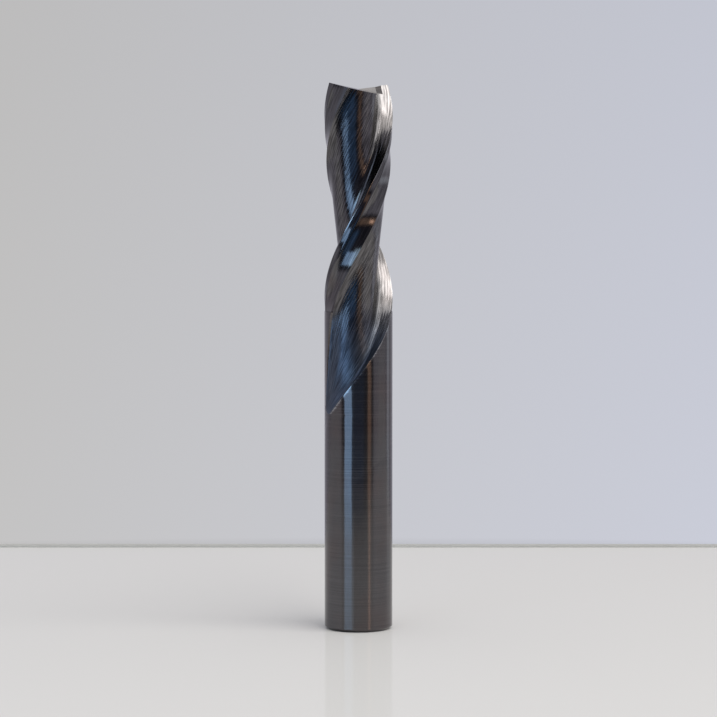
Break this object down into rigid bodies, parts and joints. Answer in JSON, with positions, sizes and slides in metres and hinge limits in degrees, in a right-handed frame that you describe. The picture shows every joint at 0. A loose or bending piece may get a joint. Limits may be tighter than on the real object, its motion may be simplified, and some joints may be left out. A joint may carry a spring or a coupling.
{
  "type": "router bit",
  "caption": "Solid carbide spiral router bit: a plain round shank running out into helical flutes with a ground fishtail end.",
  "frame": {"origin": "centre of the flat shank end, on the tool's axis", "axes": "+Z along the tool's axis from the shank end to the cutting tip; +X is only a fixed direction across it"},
  "size_m": [0.0096, 0.0096, 0.0762],
  "materials": {
    "carbide": "bare tungsten carbide, dark grey, centreless-ground shank and wheel-ground flutes with fine diagonal marks"
  },
  "bodies": {
    "root": {"router_bit": "carbide"}
  },
  "joints": []
}
